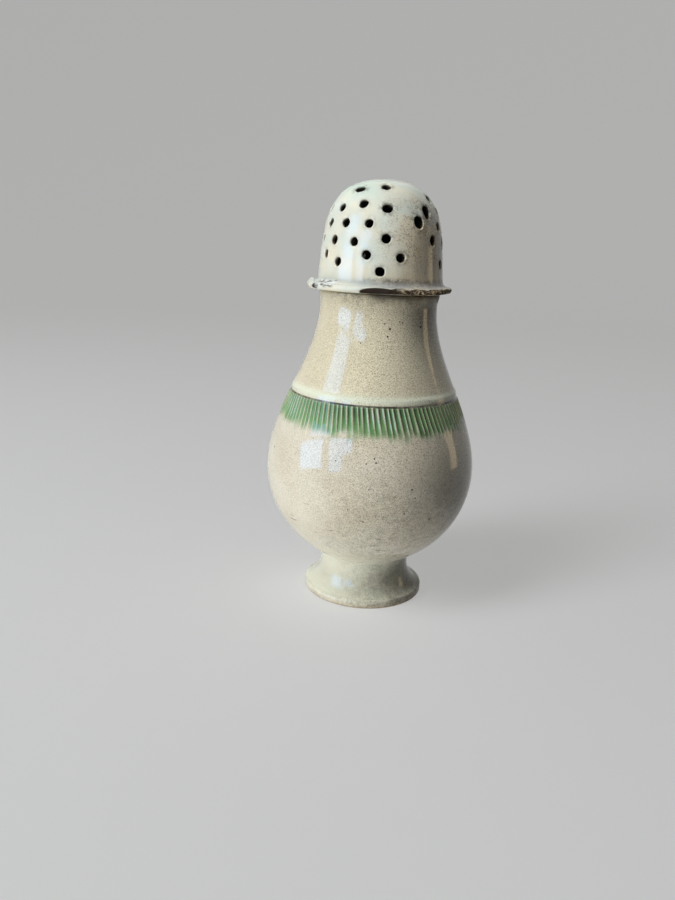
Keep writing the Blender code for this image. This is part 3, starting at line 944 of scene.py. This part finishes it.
class Finish:
    """A material in the making: its methods add nodes and give back an output."""

    def __init__(self, name):
        self.material = bpy.data.materials.new(name)
        self.material.use_nodes = True
        self.tree = self.material.node_tree
        self.shader = self.tree.nodes["Principled BSDF"]
        self.place = self.add("ShaderNodeTexCoord").outputs["Object"]

    def add(self, kind, sockets=None, **settings):
        """A node with its settings, and with values or links in sockets by name or number."""
        node = self.tree.nodes.new(kind)
        for name, value in settings.items():
            setattr(node, name, value)
        for socket, value in (sockets or {}).items():
            self.feed(node.inputs[socket], value)
        return node

    def feed(self, socket, value):
        """A link, a colour or a number into a socket."""
        if isinstance(value, bpy.types.NodeSocket):
            self.tree.links.new(value, socket)
        elif isinstance(value, tuple) and socket.type == "RGBA":
            socket.default_value = (*value, 1.0)
        else:
            socket.default_value = value

    def mark(self, name, *strength):
        """A value of the mesh's points, times a strength if one is given."""
        return self.times(self.add("ShaderNodeAttribute", attribute_name=name).outputs["Fac"], *strength)

    def height(self):
        return self.add("ShaderNodeSeparateXYZ", {"Vector": self.place}).outputs["Z"]

    def stretched(self, scale):
        return self.add("ShaderNodeMapping", {"Vector": self.place, "Scale": scale}).outputs["Vector"]

    def noise(self, size, detail=2.0, rough=0.5, place=None):
        """Noise between 0 and 1 whose spots are about size metres across."""
        sockets = {"Vector": place or self.place, "Scale": 1.0 / size, "Detail": detail, "Roughness": rough}
        return self.add("ShaderNodeTexNoise", sockets).outputs["Fac"]

    def patches(self, size, low, high, first=0.0, last=1.0, **settings):
        """Noise turned into patches by an S-curve."""
        return self.remap(self.noise(size, **settings), low, high, first, last)

    def cells(self, size):
        """Distance from the middle of scattered cells, in cell widths, and a value per cell."""
        node = self.add("ShaderNodeTexVoronoi", {"Vector": self.place, "Scale": 1.0 / size})
        apart = self.add("ShaderNodeSeparateColor", {"Color": node.outputs["Color"]})
        return node.outputs["Distance"], apart.outputs["Red"]

    def remap(self, value, low, high, first=0.0, last=1.0):
        """An S-curve from first at low to last at high."""
        sockets = {"Value": value, "From Min": low, "From Max": high, "To Min": first, "To Max": last}
        return self.add("ShaderNodeMapRange", sockets, interpolation_type="SMOOTHSTEP").outputs["Result"]

    def sum(self, kind, *values):
        """Values joined one after the other by a kind of sum, kept between 0 and 1."""
        total = values[0]
        for value in values[1:]:
            node = self.add("ShaderNodeMath", {0: total, 1: value}, operation=kind, use_clamp=True)
            total = node.outputs["Value"]
        return total

    def times(self, *values):
        return self.sum("MULTIPLY", *values)

    def most(self, *values):
        return self.sum("MAXIMUM", *values)

    def mix(self, share, first, second, kind="MIX"):
        sockets = {0: share, 6: first, 7: second}
        return self.add("ShaderNodeMix", sockets, data_type="RGBA", blend_type=kind).outputs[2]

    def layers(self, colour, *layers):
        """Colours laid over a first one in turn, each with the share that it covers."""
        for share, tint in layers:
            colour = self.mix(share, colour, tint)
        return colour

    def bump(self, height, depth, below=None):
        """Normals of a surface that rises by depth metres where height goes from 0 to 1."""
        sockets = {"Distance": depth, "Height": height}
        if below is not None:
            sockets["Normal"] = below
        return self.add("ShaderNodeBump", sockets).outputs["Normal"]

    def done(self, colour, roughness, normal):
        self.feed(self.shader.inputs["Base Color"], colour)
        self.feed(self.shader.inputs["Roughness"], roughness)
        self.feed(self.shader.inputs["Normal"], normal)
        return self.material


CREAM_PALE = (0.78, 0.720, 0.595)
CREAM_BUFF = (0.72, 0.645, 0.51)
NECK_CREAM = (0.76, 0.685, 0.51)
GRAIN = (0.66, 0.63, 0.56)
SPECK = (0.20, 0.135, 0.075)
PINHOLE = (0.045, 0.030, 0.018)
POT_POOL = (0.74, 0.74, 0.60)
TOP_POOL = (0.42, 0.47, 0.46)
SEAM_GREY = (0.21, 0.20, 0.20)
CROWN_TINT = (0.48, 0.65, 0.56)
FRECKLE = (0.27, 0.18, 0.095)
HAZE = (0.62, 0.49, 0.31)
BEAD_GLAZE = (0.74, 0.79, 0.63)
COPPER_GREEN = (0.085, 0.255, 0.060)
# Pooled green glaze, also laid on as painted shade right of the crests and on the pot's right
POOLED_AND_SHADED_GREEN = (0.018, 0.050, 0.012)
CUT_BROWN = (0.022, 0.020, 0.012)
DIRT = (0.105, 0.078, 0.052)
# Dirt and painted shadow under the broken flange
SOOT_AND_SHADOW = (0.045, 0.033, 0.022)
BISCUIT = (0.56, 0.41, 0.25)
BROKEN_CLAY = (0.12, 0.080, 0.048)
# Painted shade of clay: pits and chips out of the light, and the pot's inside
SHADED_CLAY = (0.010, 0.007, 0.005)
SHADED_BROWN = (0.055, 0.032, 0.018)
FLAKE_WHITE = (0.68, 0.69, 0.65)
FLAKE_GREY = (0.20, 0.18, 0.155)
HOLE_WALL = (0.085, 0.060, 0.040)
PAINTED_SHADE = (0.010, 0.008, 0.006)
DOME_WHITE = (0.67, 0.695, 0.605)
DOME_BUFF = (0.83, 0.71, 0.51)
CORK_LIGHT = (0.50, 0.31, 0.16)
CORK_BROWN = (0.36, 0.20, 0.09)
CORK_WARM = (0.42, 0.26, 0.13)
CORK_STREAK = (0.10, 0.05, 0.025)
CORK_PIT = (0.085, 0.045, 0.022)
# Roughness of the glaze from its smoothest to its dullest spots
POT_SHEEN = (0.03, 0.08)
TOP_SHEEN = (0.05, 0.11)


def specks(finish, density):
    """Fine iron specks in the glaze, thicker where density is high."""
    level = finish.times(finish.patches(0.012, 0.3, 0.7, 0.6, 1.0), density)
    small = finish.times(finish.patches(0.00026, 0.60, 0.68, detail=1.0), level)
    large = finish.times(finish.patches(0.0009, 0.70, 0.75), level, 0.8)
    return finish.most(small, large)


def pinholes(finish, size, rarity):
    """A few small dark pits, about one in every few cells of that size."""
    distance, chance = finish.cells(size)
    return finish.times(finish.remap(distance, 0.055, 0.03), finish.remap(chance, rarity, rarity + 0.02))


def pocks(finish):
    """The pot's larger pits, each at its own place."""
    climb = pot_outside()[::-1]
    total = 0.0
    for turn, level, radius in POCKS:
        reach = np.interp(level, climb[:, 1], climb[:, 0]) - POCK_SINK
        sockets = {0: finish.place, 1: turned(reach, math.radians(turn), level)}
        gap = finish.add("ShaderNodeVectorMath", sockets, operation="DISTANCE").outputs["Value"]
        total = finish.most(total, finish.remap(gap, radius, 0.55 * radius))
    return total


def glaze_bump(finish, pits):
    """Soft ripples, turning lines, orange peel and pits of a thick glaze."""
    ripple = finish.bump(finish.noise(0.006, detail=1.0), 0.00009)
    lines = finish.noise(0.0008, place=finish.stretched((0.06, 0.06, 1.0)))
    turning = finish.bump(lines, 0.000012, ripple)
    peel = finish.bump(finish.noise(0.0009), 0.000006, turning)
    return finish.bump(pits, -0.00010, peel)


def cut_line(finish):
    """The dark line cut above the band, stronger and weaker along its way."""
    height = finish.height()
    edges = [
        finish.remap(height, CUT_LEVEL + width, CUT_LEVEL + 0.4 * width)
        for width in (-CUT_WIDTH, CUT_WIDTH)
    ]
    return finish.times(*edges, finish.patches(0.0035, 0.35, 0.60, 0.60, 1.0, detail=3.0))


def scratches(finish):
    """Short level scratches with dirt in them, in a few clusters."""
    strokes = finish.patches(0.0007, 0.63, 0.69, place=finish.stretched((0.22, 0.22, 1.8)))
    clusters = finish.patches(0.008, 0.50, 0.62, detail=1.0)
    height = finish.height()
    above, below = SCRATCHED
    low = finish.times(finish.remap(height, *above, 0.25, 1.0), finish.remap(height, *below))
    return finish.times(strokes, clusters, low)


def sheen(finish, smoothest, dullest, grime):
    """Roughness that varies over the glaze and rises where it is dirty."""
    clean = finish.patches(0.004, 0.3, 0.7, smoothest, dullest, detail=3.0)
    return finish.sum("ADD", clean, grime)


def pot_glaze():
    finish = Finish("pot_glaze_fired")
    bare, green, iron, soot_and_shadow = [finish.mark(name) for name in ("bare", "green", "iron", "soot_and_shadow")]
    colour = finish.layers(
        CREAM_BUFF,
        (finish.patches(0.014, 0.30, 0.70), CREAM_PALE),
        (finish.remap(finish.height(), *NECK_TINT), NECK_CREAM),
    )
    grain = finish.patches(0.00026, 0.34, 0.66, detail=1.0, rough=0.6)
    sandy = finish.times(grain, finish.remap(iron, 0.0, 0.8, 0.60, 1.0))
    colour = finish.mix(sandy, colour, GRAIN, kind="MULTIPLY")
    dots = specks(finish, iron)
    pits = finish.most(pinholes(finish, 0.0046, 0.72), pocks(finish))
    grime = finish.mark("stain", finish.patches(0.0018, 0.40, 0.66, detail=4.0, rough=0.7))
    clay = finish.mix(finish.noise(0.0016, detail=4.0), BISCUIT, BROKEN_CLAY)
    colour = finish.layers(
        colour,
        (finish.mark("pool", 0.75), POT_POOL),
        (finish.mark("bead", 0.65), BEAD_GLAZE),
        (finish.times(dots, 0.70), SPECK),
        (finish.times(green, 0.90), COPPER_GREEN),
        # Pooled glaze and painted shade in the reeds
        (finish.mark("deep_and_shaded", 0.95), POOLED_AND_SHADED_GREEN),
        (finish.times(cut_line(finish), 0.95), CUT_BROWN),
        (finish.times(scratches(finish), 0.7), DIRT),
        # Dirt, and under the flange painted shadow too
        (finish.times(grime, 0.85), DIRT),
        # Dirt and painted shadow on the neck under the broken flange
        (finish.times(soot_and_shadow, 0.85), SOOT_AND_SHADOW),
        (pits, PINHOLE),
        (bare, clay),
        (finish.mark("hollow", 0.6), clay),
        # Painted shade over the pot's inside
        (finish.mark("inside"), SHADED_CLAY),
    )
    rough = sheen(finish, *POT_SHEEN, finish.times(grime, 0.3))
    rough = finish.most(rough, finish.times(soot_and_shadow, 0.6), finish.times(green, 0.07), finish.times(bare, 0.8))
    relief = finish.most(pits, finish.times(dots, 0.01))
    return finish.done(colour, rough, glaze_bump(finish, relief))


def top_glaze():
    finish = Finish("top_glaze_fired")
    bare, buff, freckle, inside = [finish.mark(name) for name in ("bare", "buff", "freckle", "inside")]
    cloud = finish.patches(0.006, 0.35, 0.65, 0.0, 0.40, detail=3.0)
    colour = finish.layers(
        DOME_WHITE,
        (finish.sum("ADD", buff, cloud), DOME_BUFF),
        (finish.mark("crown", 0.7), CROWN_TINT),
    )
    runs = finish.patches(0.0022, 0.45, 0.65, detail=3.0, place=finish.stretched((1.0, 1.0, 0.16)))
    colour = finish.mix(finish.times(runs, buff, 0.6), colour, GRAIN, kind="MULTIPLY")
    dots = specks(finish, finish.remap(buff, 0.1, 0.8, 0.15, 0.9))
    pits = pinholes(finish, 0.0040, 0.72)
    freckles = finish.patches(0.00042, 0.50, 0.62, rough=0.6)
    freckles = finish.times(freckles, freckle, finish.patches(0.004, 0.36, 0.56))
    haze = finish.patches(0.004, 0.42, 0.62, detail=4.0, rough=0.6)
    grime = finish.mark("stain", finish.patches(0.0013, 0.42, 0.60, detail=4.0, rough=0.7))
    streaks = finish.noise(0.0007, detail=3.0, rough=0.7, place=finish.stretched((0.7, 0.7, 1.2)))
    # Broken clay: biscuit streaks, painted shade in its pits, and painted shade over the undercut chip
    clay = finish.layers(
        BROKEN_CLAY,
        (finish.remap(streaks, 0.50, 0.56), BISCUIT),
        (finish.remap(streaks, 0.51, 0.45), SHADED_CLAY),
        (finish.mark("dark"), finish.mix(streaks, SHADED_CLAY, SHADED_BROWN)),
    )
    flaky = finish.patches(0.0010, 0.36, 0.52, detail=1.0, place=finish.stretched((0.5, 0.5, 1.4)))
    colour = finish.layers(
        colour,
        (finish.mark("pool", 0.90), TOP_POOL),
        (finish.mark("seam", 0.75), SEAM_GREY),
        (finish.times(dots, 0.6), SPECK),
        (finish.times(freckle, haze, 0.25), HAZE),
        (finish.times(freckles, 0.70), FRECKLE),
        (finish.times(grime, 0.85), DIRT),
        (pits, PINHOLE),
        (bare, clay),
        (finish.mark("flake"), finish.mix(flaky, FLAKE_GREY, FLAKE_WHITE)),
        (finish.mark("hole", 0.9), HOLE_WALL),
        # Painted shade deep in the holes and over the top's inside
        (finish.mark("deep_and_shaded"), PAINTED_SHADE),
        (inside, PAINTED_SHADE),
    )
    rough = sheen(finish, *TOP_SHEEN, finish.times(grime, 0.35))
    rough = finish.most(rough, finish.times(bare, 0.95), inside)
    relief = finish.most(pits, finish.times(dots, 0.15))
    return finish.done(colour, rough, glaze_bump(finish, relief))


def cork_finish():
    finish = Finish("cork_natural")
    distance, shade = finish.cells(0.0009)
    upright = finish.stretched((1.0, 1.0, 2.4))
    colour = finish.layers(
        CORK_LIGHT,
        (shade, CORK_BROWN),
        (finish.patches(0.003, 0.4, 0.7, detail=4.0), CORK_WARM),
        (finish.patches(0.0016, 0.62, 0.74, 0.0, 0.7, detail=3.0, place=upright), CORK_STREAK),
        (finish.mark("pit"), CORK_PIT),
    )
    normal = finish.bump(finish.noise(0.0005, detail=3.0), 0.00012)
    normal = finish.bump(distance, 0.00008, normal)
    return finish.done(colour, finish.remap(shade, 0.0, 1.0, 0.8, 0.95), normal)


# Stage, light and camera

PAPER = (0.45, 0.45, 0.445)
PAPER_FIBRE = (0.43, 0.43, 0.425)
PAPER_GLOW = (0.80, 0.80, 0.79)
PAPER_NEAR = (0.45, 0.43, 0.38)
PAPER_FAR = (0.05, 0.045, 0.035)
PAPER_REACH = (0.06, 0.18)
SKY = (0.25, 0.54, 1.0)
DAYLIGHT = (0.93, 0.97, 1.0)
WARM = (1.0, 0.76, 0.44)
ROOM = (1.0, 0.84, 0.62, 1.0)
ROOM_STRENGTH = 0.02
LAMP_AIM = 0.06
# Lamps: turn, elevation, distance, width and height, radiance, colour and roll
HIGHLIGHTS = {
    "pane_left_lower": (-69, 5.4, 0.60, (0.30, 0.185), 6.2, SKY, 19),
    "pane_left_upper": (-67.7, 26, 0.60, (0.27, 0.18), 5.0, SKY, 16),
    "pane_middle": (-39.4, 11, 0.60, (0.15, 0.23), 5.0, SKY, 15),
    "pane_right": (-28.4, 19.6, 0.60, (0.11, 0.085), 6.0, SKY, 15),
    "strip_right": (100, 4, 0.60, (0.13, 0.30), 1.5, WARM, 0),
}
KEY = (-57, 40, 0.75, (0.26, 0.6), 6.5, DAYLIGHT, 0)
FILLS = {
    "soft_top": (0, 80, 0.70, (0.5, 0.5), 2.6, DAYLIGHT, 0),
    "soft_back": (200, 25, 0.80, (0.6, 0.6), 2.2, DAYLIGHT, 0),
    "soft_low": (-45, -42, 0.70, (0.28, 0.4), 10.2, DAYLIGHT, 0),
}


def stage_finish():
    """Pale paper for the camera and for highlights; only what is near the foot lights the pot."""
    finish = Finish("stage_paper")
    fibres = finish.patches(0.02, 0.3, 0.7, detail=4.0)
    paper = finish.mix(finish.times(fibres, 0.25), PAPER, PAPER_FIBRE)
    away = finish.add("ShaderNodeVectorMath", {0: finish.place}, operation="LENGTH").outputs["Value"]
    thrown = finish.mix(finish.remap(away, *PAPER_REACH), PAPER_NEAR, PAPER_FAR)
    rays = finish.add("ShaderNodeLightPath").outputs
    seen = finish.most(rays["Is Camera Ray"], rays["Is Glossy Ray"], rays["Is Transmission Ray"])
    finish.feed(finish.shader.inputs["Emission Color"], PAPER_GLOW)
    finish.feed(finish.shader.inputs["Emission Strength"], finish.times(seen, 0.5))
    finish.feed(finish.shader.inputs["Specular IOR Level"], 0.1)
    material = finish.done(finish.mix(seen, thrown, paper), 0.9, finish.bump(fibres, 0.00005))
    back = finish.add("ShaderNodeNewGeometry").outputs["Backfacing"]
    clear = finish.add("ShaderNodeBsdfTransparent").outputs["BSDF"]
    choose = finish.add("ShaderNodeMixShader", {0: back, 1: finish.shader.outputs["BSDF"], 2: clear})
    finish.feed(finish.tree.nodes["Material Output"].inputs["Surface"], choose.outputs["Shader"])
    return material


def make_stage():
    """A round paper sweep, open under the foot where the cork comes out."""
    opening = FOOT_RADIUS - 2 * FOOT_ROUNDING
    flat, bend, height = 0.9, 0.5, 1.6
    line = np.vstack(
        [
            [(opening, 0.0)],
            np.stack([np.geomspace(0.02, flat, 24), np.zeros(24)], axis=1),
            ellipse((flat, bend), bend, -90, 0, steps=24)[1:],
            [(flat + bend, height)],
        ]
    )
    points, faces = lathe(rings_of(line, STAGE_SIDES), closed=False)
    sweep = add_mesh("stage_sweep", points, faces, {})
    sweep.data.materials.append(stage_finish())


def add_lamp(name, turn, elevation, distance, size, radiance, colour, roll, mirrored):
    """A rectangular lamp that looks at the pot's middle; mirrored ones only show as highlights."""
    data = bpy.data.lights.new(name, "AREA")
    data.shape = "RECTANGLE"
    data.size, data.size_y = size
    data.energy = radiance * math.pi * size[0] * size[1]
    data.color = colour
    lamp = bpy.data.objects.new(name, data)
    bpy.context.scene.collection.objects.link(lamp)
    place = Matrix.Translation((0.0, 0.0, LAMP_AIM))
    for degrees, axis in ((turn, "Z"), (90 - elevation, "X"), (roll, "Z")):
        place = place @ Matrix.Rotation(math.radians(degrees), 4, axis)
    lamp.matrix_world = place @ Matrix.Translation((0.0, 0.0, distance))
    lamp.visible_camera = False
    lamp.visible_glossy = mirrored
    lamp.visible_diffuse = not mirrored
    return lamp


def add_lights(pieces):
    """Soft daylight and the highlights of a window; the fill lamps light the pieces alone."""
    for name, lamp in HIGHLIGHTS.items():
        add_lamp(name, *lamp, mirrored=True)
    add_lamp("soft_key", *KEY, mirrored=False)
    for name, lamp in FILLS.items():
        linking = add_lamp(name, *lamp, mirrored=False).light_linking
        linking.receiver_collection = pieces
        linking.blocker_collection = pieces
    world = bpy.data.worlds.new("room")
    world.use_nodes = True
    background = world.node_tree.nodes["Background"]
    background.inputs["Color"].default_value = ROOM
    background.inputs["Strength"].default_value = ROOM_STRENGTH
    bpy.context.scene.world = world


def add_camera():
    data = bpy.data.cameras.new("photo_camera")
    data.lens = CAMERA_LENS
    data.clip_start = 0.001
    camera = bpy.data.objects.new("photo_camera", data)
    bpy.context.scene.collection.objects.link(camera)
    tilt = Matrix.Rotation(math.pi / 2 - CAMERA_PITCH, 4, "X") @ Matrix.Rotation(CAMERA_ROLL, 4, "Z")
    camera.matrix_world = Matrix.Translation(CAMERA_PLACE) @ tilt
    bpy.context.scene.camera = camera


def main():
    pieces = bpy.data.collections.new("pot_pieces")
    for piece in (make_pot_body(), make_domed_top(), make_cork_bung()):
        pieces.objects.link(piece)
    make_stage()
    add_lights(pieces)
    add_camera()
    bpy.context.scene.view_settings.view_transform = "Standard"


main()
